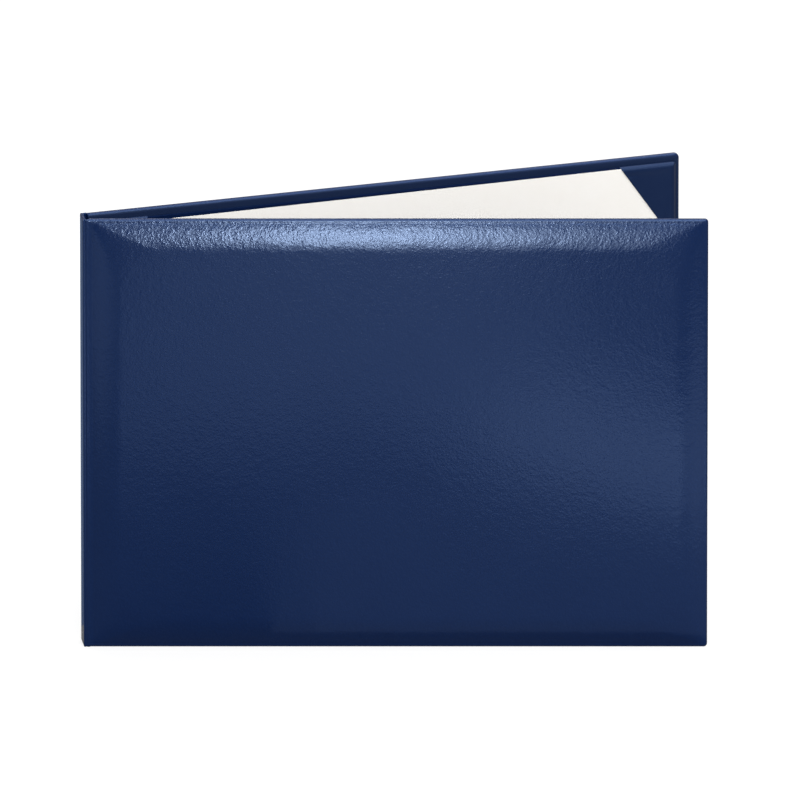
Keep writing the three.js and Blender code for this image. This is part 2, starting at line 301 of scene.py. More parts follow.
def clouds(made, place, size, detail=2.0, roughness=0.5):
    """Soft noise from 0 to 1 whose lumps are about one size across."""
    sockets = {"Vector": place, "Scale": 1.0 / size, "Detail": detail, "Roughness": roughness}
    return made.node("ShaderNodeTexNoise", {}, sockets, out=0)


def pebbles(made, place, size):
    """Rounded cells from 0 in the valleys to 1 on the tops, pulled out of line by a little noise."""
    pull = made.node("ShaderNodeTexNoise", {}, {"Vector": place, "Scale": 0.6 / size, "Detail": 1.0}, out=1)
    bent = made.node(
        "ShaderNodeVectorMath",
        {"operation": "MULTIPLY_ADD"},
        {0: pull, 1: (size * 1.2, size * 1.2, size * 1.2), 2: place},
    )
    cells = made.node(
        "ShaderNodeTexVoronoi",
        {"feature": "SMOOTH_F1"},
        {"Vector": bent, "Scale": 1.0 / size, "Smoothness": 0.6},
        out="Distance",
    )
    return made.node(
        "ShaderNodeMapRange",
        {"interpolation_type": "SMOOTHSTEP"},
        {"Value": cells, "From Min": 0.65, "From Max": 0.1, "To Min": 0.0, "To Max": 1.0},
    )


def leatherette():
    made = Finish(bpy.data.materials.new("navy_leatherette"))
    place = made.node("ShaderNodeTexCoord", out="Object")
    stretch = clouds(made, place, STRETCH)
    grain = pebbles(made, place, PEBBLE)
    handling = clouds(made, place, 38 * MM, 3.0)
    raised = bump(made, stretch, STRETCH_HEIGHT)
    normal = bump(made, grain, PEBBLE_HEIGHT, raised)
    colour = blend_colours(made, grain * 0.6 + handling * 0.4, NAVY, NAVY_WORN)
    rough = 0.20 - grain * 0.03 + handling * 0.05
    return principled(
        made,
        {"Base Color": colour, "Roughness": rough, "Normal": normal},
        {"IOR": 1.5, "Specular IOR Level": 0.5, "Specular Tint": rgb(*LACQUER_TINT)},
    )


def turn_in_painted_lighter():
    """The same skin on the turn-ins: flatter and duller, and painted paler to stand in for light that their shade
    lacks.
    """
    made = Finish(bpy.data.materials.new("turn_in_painted_lighter"))
    place = made.node("ShaderNodeTexCoord", out="Object")
    grain = pebbles(made, place, PEBBLE)
    handling = clouds(made, place, 20 * MM, 3.0)
    # Painted light: these two navies are paler than the skin's, and stand in for light that the turn-ins' shade lacks.
    colour = blend_colours(made, grain * 0.4 + handling * 0.6, (0.007, 0.015, 0.046), (0.010, 0.019, 0.054))
    return principled(
        made,
        {"Base Color": colour, "Roughness": 0.5 - grain * 0.05, "Normal": bump(made, grain, PEBBLE_HEIGHT * 0.5)},
        {"IOR": 1.5, "Specular IOR Level": 0.2, "Specular Tint": rgb(*LACQUER_TINT)},
    )


LEATHERETTE = leatherette()
TURN_IN_PAINTED_LIGHTER = turn_in_painted_lighter()
print("leatherette with pebbles of", PEBBLE / MM, "mm")

# %% [markdown]
# Cloth, card and paper
# The pockets and the linings are a thin bookbinder's cloth: a plain weave, dyed navy and sized with glue so that
# it is nearly matt. The panel is card faced with the same navy in paper. The certificate is ivory card with a
# faint cloudiness, the greyboard is pressed waste paper with flecks in it, and the foam is full of tiny cells.

# %% Mix the cloth, the card and the paper
CLOTH_NAVY = (0.0006, 0.0064, 0.0350)
CLOTH_NAVY_LIGHT = (0.0014, 0.0084, 0.0410)
THREAD = 0.42 * MM


def binder_cloth():
    made = Finish(bpy.data.materials.new("binder_cloth"))
    place = made.node("ShaderNodeTexCoord", out="Object")
    uneven = clouds(made, place, 6 * MM)
    along = made.node("ShaderNodeSeparateXYZ", {}, {0: place}, out="X")
    up = made.node("ShaderNodeSeparateXYZ", {}, {0: place}, out="Z")
    turns = 2 * math.pi / THREAD
    warp = along.math("SINE", along * turns + uneven * 3.0)
    weft = up.math("SINE", up * turns + uneven * 3.0)
    weave = warp * weft * 0.5 + 0.5
    colour = blend_colours(made, weave * 0.5 + uneven * 0.5, CLOTH_NAVY, CLOTH_NAVY_LIGHT)
    normal = bump(made, weave, 0.02 * MM)
    return principled(
        made,
        {"Base Color": colour, "Roughness": 0.32 + uneven * 0.08, "Normal": normal},
        {"IOR": 1.5, "Specular IOR Level": 0.5, "Specular Tint": rgb(*LACQUER_TINT)},
    )


def paper(name, first, second, lump, tooth, roughness, shine=0.3):
    """Paper or card: fibres in slow clouds of two colours, and a fine tooth."""
    made = Finish(bpy.data.materials.new(name))
    place = made.node("ShaderNodeTexCoord", out="Object")
    fibres = clouds(made, place, lump, 5.0, 0.65)
    fine = clouds(made, place, 0.35 * MM, 2.0)
    normal = bump(made, fine, tooth)
    colour = blend_colours(made, fibres, first, second)
    return principled(
        made,
        {"Base Color": colour, "Roughness": roughness + fine * 0.08, "Normal": normal},
        {"IOR": 1.45, "Specular IOR Level": shine},
    )


def foam():
    made = Finish(bpy.data.materials.new("cream_foam"))
    place = made.node("ShaderNodeTexCoord", out="Object")
    cells = pebbles(made, place, 0.6 * MM)
    colour = blend_colours(made, cells, (0.66, 0.62, 0.50), (0.83, 0.80, 0.70))
    return principled(
        made,
        {"Base Color": colour, "Roughness": 0.95 - cells * 0.05, "Normal": bump(made, cells, 0.2 * MM)},
        {"Specular IOR Level": 0.1},
    )


CLOTH = binder_cloth()
PANEL_PAPER = paper("navy_panel_paper", CLOTH_NAVY, CLOTH_NAVY_LIGHT, 3 * MM, 0.01 * MM, 0.6, shine=0.05)
IVORY = paper("ivory_paper", (0.90, 0.872, 0.82), (0.93, 0.908, 0.87), 9 * MM, 0.006 * MM, 0.75)
GREYBOARD = paper("greyboard", (0.20, 0.185, 0.155), (0.34, 0.32, 0.28), 1.2 * MM, 0.05 * MM, 0.88)
FOAM = foam()
print("5 more finishes")

# %% [markdown]
# Where the covers are
# Each cover was drawn in its own axes: length from the hinge, depth inwards from its outer face, and height
# from the middle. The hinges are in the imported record, so the three places are worked out from them. The back
# cover is the front cover turned over, which is why its depth and height run the other way.

# %% Work out the three places
HINGES = {joint["name"]: Vector(joint["pos_m"]) for joint in frame["joints"]}
FRONT = HINGES["front_hinge"]
BACK = HINGES["back_hinge"]
OPEN_ANGLE = math.radians(16.7)
spine_way = BACK - FRONT
SPINE_ANGLE = math.atan2(spine_way.y, spine_way.x)
TURNED_OVER = Matrix.Diagonal((1, -1, -1, 1))

front_place = Matrix.Translation(FRONT)
back_place = Matrix.Translation(BACK) @ Matrix.Rotation(OPEN_ANGLE, 4, "Z") @ TURNED_OVER
spine_place = Matrix.Translation(FRONT) @ Matrix.Rotation(SPINE_ANGLE, 4, "Z") @ TURNED_OVER

SPINE_WIDTH = spine_way.length / MM
COVER_LENGTH = 308.0
HALF_HEIGHT = 112.5
print("the spine is", round(SPINE_WIDTH, 2), "mm wide and stands at", round(math.degrees(SPINE_ANGLE), 2), "degrees")

# %% [markdown]
# From points to pieces
# A grid of points is the simplest mesh to think about: rows of points, joined by quads. One helper joins rows,
# and another turns points in millimetres into a smooth piece with its finish.
# Leatherette pieces all keep their points in the frame's own axes, so that the grain runs on from one to the next.

# %% Make the mesh helpers
def join_rows(rows, closed=False):
    """Quads between rows of points, each row as long as the others."""
    count = len(rows[0])
    points = [point for row in rows for point in row]
    faces = []
    for row in range(len(rows) - 1):
        for i in range(count if closed else count - 1):
            j = (i + 1) % count
            start, end = row * count, (row + 1) * count
            faces.append((start + i, start + j, end + j, end + i))
    return points, faces


def smooth_step(value, start, end):
    """From 0 before start to 1 after end, with soft ends."""
    share = min(1.0, max(0.0, (value - start) / (end - start)))
    return share * share * (3 - 2 * share)


def make_piece(name, points, faces, place, finish, angle=40.0, shared_axes=True):
    """A smooth mesh from points in millimetres in a cover's own axes."""
    mesh = bpy.data.meshes.new(name)
    mesh.from_pydata([Vector(point) * MM for point in points], [], faces)
    if shared_axes:
        mesh.transform(place)
    piece = bpy.data.objects.new(name, mesh)
    if not shared_axes:
        piece.matrix_world = place
    bpy.context.scene.collection.objects.link(piece)
    weld = piece.modifiers.new("weld", "WELD")
    weld.merge_threshold = 0.0005 * MM
    apply_modifiers(piece)
    piece.data.validate()
    piece.data.materials.append(finish)
    piece.data.shade_smooth()
    if angle:
        piece.data.set_sharp_from_angle(angle=math.radians(angle))
    return piece


def apply_modifiers(piece):
    """Replaces the mesh by what its modifiers make of it."""
    bpy.context.view_layer.update()
    graph = bpy.context.evaluated_depsgraph_get()
    made = bpy.data.meshes.new_from_object(piece.evaluated_get(graph))
    old = piece.data
    piece.modifiers.clear()
    piece.data = made
    bpy.data.meshes.remove(old)


def turn_outwards(piece):
    """Points the faces of a closed mesh outwards: its volume comes out positive."""
    volume = 0.0
    for face in piece.data.polygons:
        first, *others = [piece.data.vertices[i].co for i in face.vertices]
        for second, third in zip(others, others[1:]):
            volume += first.dot(second.cross(third)) / 6
    if volume < 0:
        piece.data.flip_normals()


def thicken(piece, thickness):
    """Gives a sheet its thickness on the side away from its faces, with the edges closed."""
    solid = piece.modifiers.new("thickness", "SOLIDIFY")
    solid.thickness = thickness * MM
    solid.offset = -1.0
    solid.use_even_offset = True
    solid.use_rim = True
    apply_modifiers(piece)


print("mesh helpers ready")

# %% [markdown]
# The wrapped edge
# Skin that goes round a board's edge follows the same line everywhere: over the outer edge in a wide round, down
# the thickness of the board, round the inner edge, and flat on the inside for 14 mm. That line is worked out
# once, as how far each point is inside the edge and how deep it lies, and covers, creases and spine all use it.

# %% Draw the line round a wrapped edge
COVER_THICKNESS = 3.2
OUTER_ROUND = 1.2
INNER_ROUND = 1.5
TURN_IN = 14.0
EDGE_STEPS = 6
TURN_IN_STOPS = (1.8, 2.6, 5.0, 8.0, 11.0, TURN_IN)


def wrapped_edge():
    """(distance inside the edge, depth) of each point from the outer face round to the end of the turn-in."""
    line = []
    for step in range(EDGE_STEPS + 1):
        angle = step / EDGE_STEPS * math.pi / 2
        line.append((OUTER_ROUND * (1 - math.sin(angle)), OUTER_ROUND * (1 - math.cos(angle))))
    for step in range(EDGE_STEPS + 1):
        angle = step / EDGE_STEPS * math.pi / 2
        depth = COVER_THICKNESS - INNER_ROUND * (1 - math.sin(angle))
        line.append((INNER_ROUND * (1 - math.cos(angle)), depth))
    line += [(stop, COVER_THICKNESS) for stop in TURN_IN_STOPS]
    return line


EDGE_LINE = wrapped_edge()
print(len(EDGE_LINE), "points round a wrapped edge")

# %% [markdown]
# The cover's skin
# The face is made of rings, each a rectangle with rounded corners: flat along the edge, then up over the foam in a
# roll that starts suddenly 14 mm in, where the shaved foam ends. A patch of quads fills the middle. The skin is
# then given its thickness. Stretching by hand leaves low waves along the roll, so the points are moved by a little
# noise. A cloth simulation was weighed up, but a glued skin hardly moves, and noise keeps the waves as low as
# the real ones. Where two turn-ins meet, the quads at the corner are left out, and that is the mitre.

# %% Shape the padding
ROLL_FOOT = 1.7
ROLL_TURN = 12.8
ROLL_END = 16.8
STEEPEST = 0.36
GENTLEST = 0.12
CROWN = 0.22
ROLL_STOPS = (1.7, 2.0, 2.5, 3.1, 3.9, 4.8, 5.8, 6.8, 7.8, 8.8, 9.8, 10.8, 11.6, 12.3, 12.9, 13.5, 14.1, 14.7, 15.6,
              17.0, 19.0, 21.7)


def roll_height(inside):
    """How far the skin stands out over the foam, at some distance inside the cover's edge."""
    width = ROLL_TURN - ROLL_FOOT
    on_roll = min(max(inside - ROLL_FOOT, 0.0), width)
    height = STEEPEST * on_roll - (STEEPEST - GENTLEST) * on_roll**2 / (2 * width)
    fading = min(max(inside - ROLL_TURN, 0.0), ROLL_END - ROLL_TURN)
    return height + GENTLEST * (fading - fading**2 / (2 * (ROLL_END - ROLL_TURN)))


def skin_depth(x, z, inside, seed):
    """Depth of the skin's outer face at a point of the padding, with its crown and its low waves."""
    along = 2 * (x - COVER_LENGTH / 2) / COVER_LENGTH
    up = z / HALF_HEIGHT
    crown = CROWN * max(0.0, 1 - along**2) * max(0.0, 1 - up**2)
    on_foam = smooth_step(inside, ROLL_FOOT, 6.0)
    near_turn = smooth_step(inside, 5.0, 11.0) * (1 - smooth_step(inside, 14.0, 30.0))
    slow = noise.noise(Vector((x / 26, z / 26, seed)))
    quick = noise.noise(Vector((x / 9, z / 7, seed + 11)))
    waves = slow * (0.05 + 0.05 * near_turn) + quick * (0.008 + 0.055 * near_turn)
    return -roll_height(inside) - on_foam * (crown + waves)


print("the padding stands", round(roll_height(30), 2), "mm proud")

# %% Draw the rings of a cover
CREASE_END = 2.75
LONG = 118
SHORT = 84
ARC = 8
HINGE_STOPS = (0.12, 0.25, 0.4, 0.55, 0.75, 1.3)
PAD_CORNER = 2.5
CORNER_SPREAD = 1.0
MITRE_FROM = 2.6
MITRE_GAP = 0.12
RING_TURN_IN = len(HINGE_STOPS) + LONG


def side_stops(length, hinge_end):
    """Shares of a side at which its points lie, closer together at the end that is at the hinge."""
    close = [stop / length for stop in HINGE_STOPS]
    even = [(step + 1) / LONG for step in range(LONG - 1)]
    shares = sorted(close + even)
    return shares if hinge_end == "start" else [1 - share for share in reversed(shares)]


def ring(x0, x1, half_height, near, far):
    """Points round a rectangle: bottom, fore edge, top and hinge side. It starts at the bottom of the hinge side."""
    bottom = [(x0 + near + (x1 - far - x0 - near) * share, -half_height)
              for share in side_stops(x1 - far - x0 - near, "start")]
    top = [(x0 + near + (x1 - far - x0 - near) * (1 - share), half_height)
           for share in side_stops(x1 - far - x0 - near, "end")]
    fore = [(x1, (half_height - far) * (2 * step / SHORT - 1)) for step in range(1, SHORT)]
    hinge = [(x0, (half_height - near) * (1 - 2 * step / SHORT)) for step in range(1, SHORT)]

    def corner(x, z, radius, first):
        turned = [first + step / ARC * math.pi / 2 for step in range(ARC + 1)]
        return [(x + radius * math.cos(angle), z + radius * math.sin(angle)) for angle in turned]

    near_bottom = corner(x0 + near, -half_height + near, near, math.pi)
    far_bottom = corner(x1 - far, -half_height + far, far, -math.pi / 2)
    far_top = corner(x1 - far, half_height - far, far, 0.0)
    near_top = corner(x0 + near, half_height - near, near, math.pi / 2)
    open_part = near_bottom[-1:] + bottom + far_bottom + fore + far_top + top + near_top[:1]
    return open_part, near_top[1:] + hinge + near_bottom[:-1]


def eased(flat, passes):
    """The same ring with its bends drawn out, so that a corner begins softly."""
    for _ in range(passes):
        before = flat[-1:] + flat[:-1]
        after = flat[1:] + flat[:1]
        flat = [((a + 2 * b + c) / 4, (d + 2 * e + f) / 4) for (a, d), (b, e), (c, f) in zip(before, flat, after)]
    return flat


def wrap_share(x):
    """How thick the wrapped edge is near the hinge, where it slopes down off the end of the board."""
    return 1.1 / COVER_THICKNESS + (1 - 1.1 / COVER_THICKNESS) * smooth_step(x, CREASE_END, CREASE_END + 0.7)


def patch(ring_points, seed):
    """A grid of points that fills the innermost ring, from its four sides."""
    shift = ARC // 2
    start = len(ring_points) - shift
    turned = ring_points[start:] + ring_points[:start]
    wide = len(HINGE_STOPS) + LONG + ARC
    high = SHORT + ARC
    bottom = turned[:wide + 1]
    fore = turned[wide:wide + high + 1]
    top = turned[wide + high:2 * wide + high + 1][::-1]
    hinge = (turned[2 * wide + high:] + turned[:1])[::-1]
    rows = []
    for j in range(high + 1):
        v = j / high
        row = []
        for i in range(wide + 1):
            u = i / wide
            x, z = (
                (1 - v) * bottom[i][k] + v * top[i][k] + (1 - u) * hinge[j][k] + u * fore[j][k]
                - (1 - u) * (1 - v) * bottom[0][k] - u * (1 - v) * bottom[-1][k]
                - (1 - u) * v * top[0][k] - u * v * top[-1][k]
                for k in (0, 1)
            )
            inside = min(HALF_HEIGHT - abs(z), COVER_LENGTH - x, x - CREASE_END)
            row.append((x, skin_depth(x, z, max(inside, ROLL_STOPS[-1]), seed), z))
        rows.append(row)
    return rows


print(2 * (LONG + len(HINGE_STOPS) + SHORT + 2 * ARC), "points in a ring")

# %% [markdown]
# Both covers are the same piece of work, so one function makes both skins. Only the seed of the waves differs.

# %% Wrap the two covers
SKIN = 0.6


def cover_skin(name, place, body, seed, corner):
    points, faces = [], []

    def add(rows, closed, turned=False, skip=lambda row, i: False):
        start = len(points)
        new_points, new_faces = join_rows(rows, closed)
        count = len(rows[0])
        points.extend(new_points)
        for face in new_faces:
            row, i = divmod(face[0], count)
            if not skip(row, i):
                order = reversed(face) if turned else face
                faces.append(tuple(start + index for index in order))

    def face_ring(inside):
        spread = max(inside - ROLL_FOOT, 0.0) * CORNER_SPREAD
        near = PAD_CORNER + spread
        first, second = ring(CREASE_END + 0.25 + inside, COVER_LENGTH - inside, HALF_HEIGHT - inside, near, near)
        return eased(first + second, round(inside - ROLL_FOOT))

    def lifted(flat, inside):
        return [(x, skin_depth(x, z, inside, seed), z) for x, z in flat]

    border, hinge_side = ring(CREASE_END, COVER_LENGTH - OUTER_ROUND, HALF_HEIGHT - OUTER_ROUND, 0.0,
                               corner - OUTER_ROUND)
    rows = [[(x, 0.0, z) for x, z in border + hinge_side]]
    rows += [lifted(face_ring(inside), inside) for inside in ROLL_STOPS]
    add(rows, closed=True)
    add(patch(face_ring(ROLL_STOPS[-1]), seed), closed=False)

    edge_rows = []
    for inside, depth in EDGE_LINE:
        radius = max(corner - inside, MITRE_GAP)
        part, _ = ring(CREASE_END, COVER_LENGTH - inside, HALF_HEIGHT - inside, 0.0, radius)
        edge_rows.append([(x, depth * wrap_share(x), z) for x, z in part])
    mitre_row = [inside for inside, _ in EDGE_LINE].index(MITRE_FROM, EDGE_STEPS)
    first_arc = RING_TURN_IN
    second_arc = RING_TURN_IN + ARC + SHORT

    def in_mitre(row, i):
        in_arc = first_arc <= i < first_arc + ARC or second_arc <= i < second_arc + ARC
        return row >= mitre_row and in_arc

    add(edge_rows, closed=False, turned=True, skip=in_mitre)
    piece = make_piece(name, points, faces, place, LEATHERETTE, angle=None)
    thicken(piece, SKIN)
    piece.data.set_sharp_from_angle(angle=math.radians(50))
    # The turn-ins take the second finish: the same skin, painted paler to stand in for light that their shade lacks.
    piece.data.materials.append(TURN_IN_PAINTED_LIGHTER)
    into_cover = place.inverted()
    for face in piece.data.polygons:
        if (into_cover @ face.center).y > (COVER_THICKNESS - 0.2) * MM:
            face.material_index = 1
    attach(piece, body)
    print(name, len(piece.data.polygons), "faces")
    return piece


front_skin = cover_skin("front_cover_skin", front_place, "front_cover", seed=3.0, corner=1.8)
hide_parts("front_skin")
back_skin = cover_skin("back_cover_skin", back_place, "back_cover", seed=23.0, corner=2.6)
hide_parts("back_skin")

# %% [markdown]
# The creases
# The skin is one piece, and it folds at two hinge lines where nothing stiffens it. Each crease is made as its own
# strip, from the end of a cover's board to the edge of the spine. The groove beside the hinge line is pressed in
# with a hot tool. Its section is a closed line: one layer of skin in the middle, and two layers where it is turned in.

# %% Press the creases
CREASE_THICKNESS = 1.1
SINGLE_SKIN = 0.5
SPINE_END = 1.25
BEND_START = 0.5
GROOVE_START = 0.5
GROOVE_END = 1.9
GROOVE_DEPTH = 0.3
LEG_STEPS = 8
BEND_STEPS = 10
BEND_WINDOW = 0.245
FACE_STEPS = 36
INNER_ANGLE = math.pi / 2 + OPEN_ANGLE / 2


def strip_line(thickness, single):
    """The closed section of a wrapped strip: (height, depth) of each point."""
    share = thickness / COVER_THICKNESS
    nose = [(HALF_HEIGHT - inside, depth * share) for inside, depth in EDGE_LINE]
    inner = (HALF_HEIGHT - TURN_IN - 0.1, single)
    half_line = nose + [inner]
    top = half_line
    bottom = [(-z, depth) for z, depth in reversed(half_line)]
    reach = HALF_HEIGHT - OUTER_ROUND
    face = [(reach * (2 * step / FACE_STEPS - 1), 0.0) for step in range(1, FACE_STEPS)]
    return top + bottom + face


def crease(name, corner, cover_way, cover_in, spine_way, spine_in):
    """A crease at one hinge. The two ways run from the hinge line along the outer faces, and the ins point inwards."""

    def leg(way, inward, end, share, depth):
        start = BEND_START + 0.5 * depth
        return corner + way * (start + share * (end - start)) + inward * depth

    def bend(share, depth):
        first = leg(spine_way, spine_in, SPINE_END, 0.0, depth)
        last = leg(cover_way, cover_in, CREASE_END, 0.0, depth)
        middle = corner + cover_way * (depth / math.tan(INNER_ANGLE / 2)) + cover_in * depth
        return first * (1 - share) ** 2 + middle * (2 * share * (1 - share)) + last * share**2

    def column(place, grooved):
        points = []
        for z, depth in strip_line(CREASE_THICKNESS, SINGLE_SKIN):
            uneven = 1 + 0.25 * noise.noise(Vector((z / 14, corner.y, 5.0)))
            point = place(depth + grooved * uneven)
            points.append((point.x, point.y, HALF_HEIGHT + z))
        return points

    rows = []
    for step in range(LEG_STEPS):
        share = 1 - step / LEG_STEPS
        rows.append(column(lambda depth: leg(spine_way, spine_in, SPINE_END, share, depth), 0.0))
    for step in range(BEND_STEPS + 1):
        rows.append(column(lambda depth: bend(step / BEND_STEPS, depth), 0.0))
    for step in range(1, LEG_STEPS * 2 + 1):
        share = step / (LEG_STEPS * 2)
        along = BEND_START + share * (CREASE_END - BEND_START)
        turn = min(max((along - GROOVE_START) / (GROOVE_END - GROOVE_START), 0.0), 1.0) * math.pi
        groove = GROOVE_DEPTH * math.sin(turn) ** 2
        rows.append(column(lambda depth: leg(cover_way, cover_in, CREASE_END, share, depth), groove))
    points, faces = join_rows(rows, closed=True)
    count = len(rows[0])
    last = len(points) - count
    faces += [tuple(reversed(range(count))), tuple(range(last, last + count))]
    piece = make_piece(name, points, faces, Matrix.Identity(4), LEATHERETTE, angle=60)
    turn_outwards(piece)
    start = (corner + spine_way * BEND_WINDOW) * MM
    end = (corner + cover_way * BEND_WINDOW) * MM
    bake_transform(piece)
    print(name, len(piece.data.polygons), "faces")
    return piece


def way(place, direction):
    """A direction of a cover's own axes, in the frame."""
    return (place.to_3x3() @ Vector(direction)).normalized()


front_corner = Vector((FRONT.x / MM, FRONT.y / MM, HALF_HEIGHT))
back_corner = Vector((BACK.x / MM, BACK.y / MM, HALF_HEIGHT))
along_spine = way(spine_place, (1, 0, 0))
into_spine = way(spine_place, (0, 1, 0))
front_crease = crease(
    "front_crease", front_corner, way(front_place, (1, 0, 0)), way(front_place, (0, 1, 0)),
    along_spine, into_spine,
)
back_crease = crease(
    "back_crease", back_corner, way(back_place, (1, 0, 0)), way(back_place, (0, 1, 0)),
    -along_spine, into_spine,
)

# %% [markdown]
# The spine
# The spine is a strip of card in the same wrap, only 10 mm wide. Its section is the strip's closed line again,
# drawn out from one crease to the other, and thicker where the card lies in it.

# %% Wrap the spine
SPINE_WRAP = 2.0
SPINE_STOPS = (0.0, 0.06, 0.12, 0.2, 0.35, 0.6, 0.95, 1.6, 2.5, 3.75)

spine_stops = [SPINE_END + stop for stop in SPINE_STOPS]
spine_stops += [SPINE_WIDTH - stop for stop in reversed(spine_stops[:-1])]
spine_rows = []
for along in spine_stops:
    from_end = min(along, SPINE_WIDTH - along) - SPINE_END
    thickness = CREASE_THICKNESS + 0.45 * smooth_step(from_end, 0.0, 0.2) + 0.45 * smooth_step(from_end, 0.2, 0.95)
    single = SINGLE_SKIN + (SKIN - SINGLE_SKIN) * smooth_step(from_end, 0.0, 0.5)
    swell = 0.05 * smooth_step(from_end, 0.0, 2.0)
    spine_rows.append([(along, depth - swell * (1 - depth / thickness), z)
                       for z, depth in strip_line(thickness, single)])
spine_points, spine_faces = join_rows(spine_rows, closed=True)
count = len(spine_rows[0])
last = len(spine_points) - count
spine_faces += [tuple(reversed(range(count))), tuple(range(last, last + count))]
spine_skin = make_piece("spine_cover_skin", spine_points, spine_faces, spine_place, LEATHERETTE, 60)
turn_outwards(spine_skin)
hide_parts("spine_skin")
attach(spine_skin, "spine")
print("the spine's skin has", len(spine_skin.data.polygons), "faces")

# %% [markdown]
# The linings
# The inside of the front cover is lined with cloth that hides the raw edges of the turn-ins. It is glued down all
# over, so it shows a soft step where it comes off the turned-in skin onto the board. A grid with lines close
# together at the step keeps the flat parts light. The spine has the same lining, and a strip of it goes down into
# each joint.

# %% Glue in the linings
LINING = 0.35
LINING_EDGE = 4.0
STEP_AT = 14.3
STEP_WIDTH = 1.0
STEP_HEIGHT = 0.7


def stops_with_step(start, end, steps, step_places):
    """Even stops from start to end, with more of them just past each place of a step."""
    stops = {round(start + (end - start) * i / steps, 4) for i in range(steps + 1)}
    for step_place, side in step_places:
        stops |= {round(step_place + side * STEP_WIDTH * i / 6, 4) for i in range(-1, 8)}
    return sorted(stop for stop in stops if start <= stop <= end)


def sheet_piece(name, grid, place, finish, thickness, facing, shared_axes=False):
    """A sheet from a grid of points, with the visible side facing one way in its own axes."""
    points, faces = join_rows(grid)
    piece = make_piece(name, points, faces, place, finish, angle=None, shared_axes=shared_axes)
    total = Vector((0.0, 0.0, 0.0))
    for face in piece.data.polygons:
        total += face.normal * face.area
    wanted = Vector(facing) if not shared_axes else place.to_3x3() @ Vector(facing)
    if total.dot(wanted) < 0:
        piece.data.flip_normals()
    thicken(piece, thickness)
    piece.data.set_sharp_from_angle(angle=math.radians(50))
    return piece


def lining_grid(x0, x1, x_steps, deep, fore_step):
    half = HALF_HEIGHT - LINING_EDGE
    across = [(STEP_AT - HALF_HEIGHT, 1), (HALF_HEIGHT - STEP_AT, -1)]
    columns = stops_with_step(x0, x1, x_steps, [(COVER_LENGTH - STEP_AT, -1)] if fore_step else [])
    grid = []
    for z in stops_with_step(-half, half, 40, across):
        row = []
        for x in columns:
            inside = HALF_HEIGHT - STEP_AT - abs(z)
            if fore_step:
                inside = min(inside, COVER_LENGTH - STEP_AT - x)
            down = STEP_HEIGHT * smooth_step(inside, 0.0, STEP_WIDTH)
            ripple = 0.03 * noise.noise(Vector((x / 18, z / 18, 40.0)))
            row.append((x, deep - down + ripple, z))
        grid.append(row)
    return grid


front_lining = sheet_piece(
    "front_cover_lining", lining_grid(5.0, 305.0, 50, 3.7, True), front_place, CLOTH, LINING, (0, 1, 0),
)
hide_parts("front_lining")
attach(front_lining, "front_cover")
spine_lining = sheet_piece(
    "spine_inner_lining", lining_grid(2.1, SPINE_WIDTH - 2.1, 6, 2.45, False), spine_place, CLOTH,
    LINING, (0, 1, 0),
)
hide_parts("spine_lining")
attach(spine_lining, "spine")

# %% Line the joints
JOINT_HALF = HALF_HEIGHT - TURN_IN - 1.0
JOINT_STEPS = 30
COVER_LEG = ((5.9, 2.62), (4.6, 2.64), (3.75, 2.64), (3.45, 2.5), (3.28, 2.0), (3.12, 1.4), (2.85, 1.05),
             (2.4, 0.98), (1.9, 1.12), (1.5, 1.22), (1.2, 1.12), (0.95, 0.95))
SPINE_LEG = ((0.8, 0.82), (1.0, 0.85), (1.2, 0.98), (1.36, 1.3), (1.6, 1.62), (2.0, 1.72), (2.6, 1.72))


def joint_lining(name, corner, cover_way, cover_in, spine_way, spine_in):
    """The strip of lining in a joint: down off the board, over the crease and up onto the spine."""
    inner_corner = corner + cover_way * (0.85 / math.tan(INNER_ANGLE / 2)) + cover_in * 0.85
    line = [corner + cover_way * along + cover_in * depth for along, depth in COVER_LEG]
    line += [inner_corner]
    line += [corner + spine_way * along + spine_in * depth for along, depth in SPINE_LEG]
    grid = []
    for step in range(JOINT_STEPS + 1):
        z = JOINT_HALF * (2 * step / JOINT_STEPS - 1)
        grid.append([(point.x, point.y, HALF_HEIGHT + z) for point in line])
    facing = (cover_in + spine_in).normalized()
    piece = sheet_piece(name, grid, Matrix.Identity(4), CLOTH, 0.25, facing, shared_axes=True)
    start = (corner + spine_way * BEND_WINDOW) * MM
    end = (corner + cover_way * BEND_WINDOW) * MM
    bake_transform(piece)
    return piece


joint_lining(
    "front_joint_lining", front_corner, way(front_place, (1, 0, 0)), way(front_place, (0, 1, 0)),
    along_spine, into_spine,
)
joint_lining(
    "back_joint_lining", back_corner, way(back_place, (1, 0, 0)), way(back_place, (0, 1, 0)),
    -along_spine, into_spine,
)
print("front cover, spine and both joints lined")

# %% [markdown]
# The pockets
# A pocket is a triangle of cloth folded round a corner of the panel and glued under it, with a hem along its
# diagonal. It is a ruled sheet: lines run from the panel's edge to the diagonal, and shrink to nothing at its two
# ends. Cloth over a card edge is never sharp, so the fold is a soft ridge about 2 mm wide, which catches the light.

# %% Fold the pockets
PANEL_START = 5.0
PANEL_END = 305.0
PANEL_HALF = 108.5
POCKET_LENGTH = 29.0
POCKET_HEIGHT = 42.5
POCKET_CLOTH = 0.38
POCKET_STAND = 0.5
POCKET_CORNER = 1.7
FOLD_LINE = ((9.5, 3.72), (5.0, 3.72), (1.5, 3.70), (0.6, 3.66), (0.15, 3.82), (0.0, 4.15), (0.05, 4.55),
             (0.24, 4.95), (0.58, 5.33), (1.05, 5.66), (1.65, 5.92), (2.35, 6.08), (3.1, 6.12), (3.9, 6.06),
             (4.8, 5.96), (5.8, 5.92))
HEM_WIDTH = 5.0
HEM_RISE = 0.08
POCKET_SIDE_STEPS = 26
POCKET_ARC_STEPS = 6
POCKET_ROWS = 14


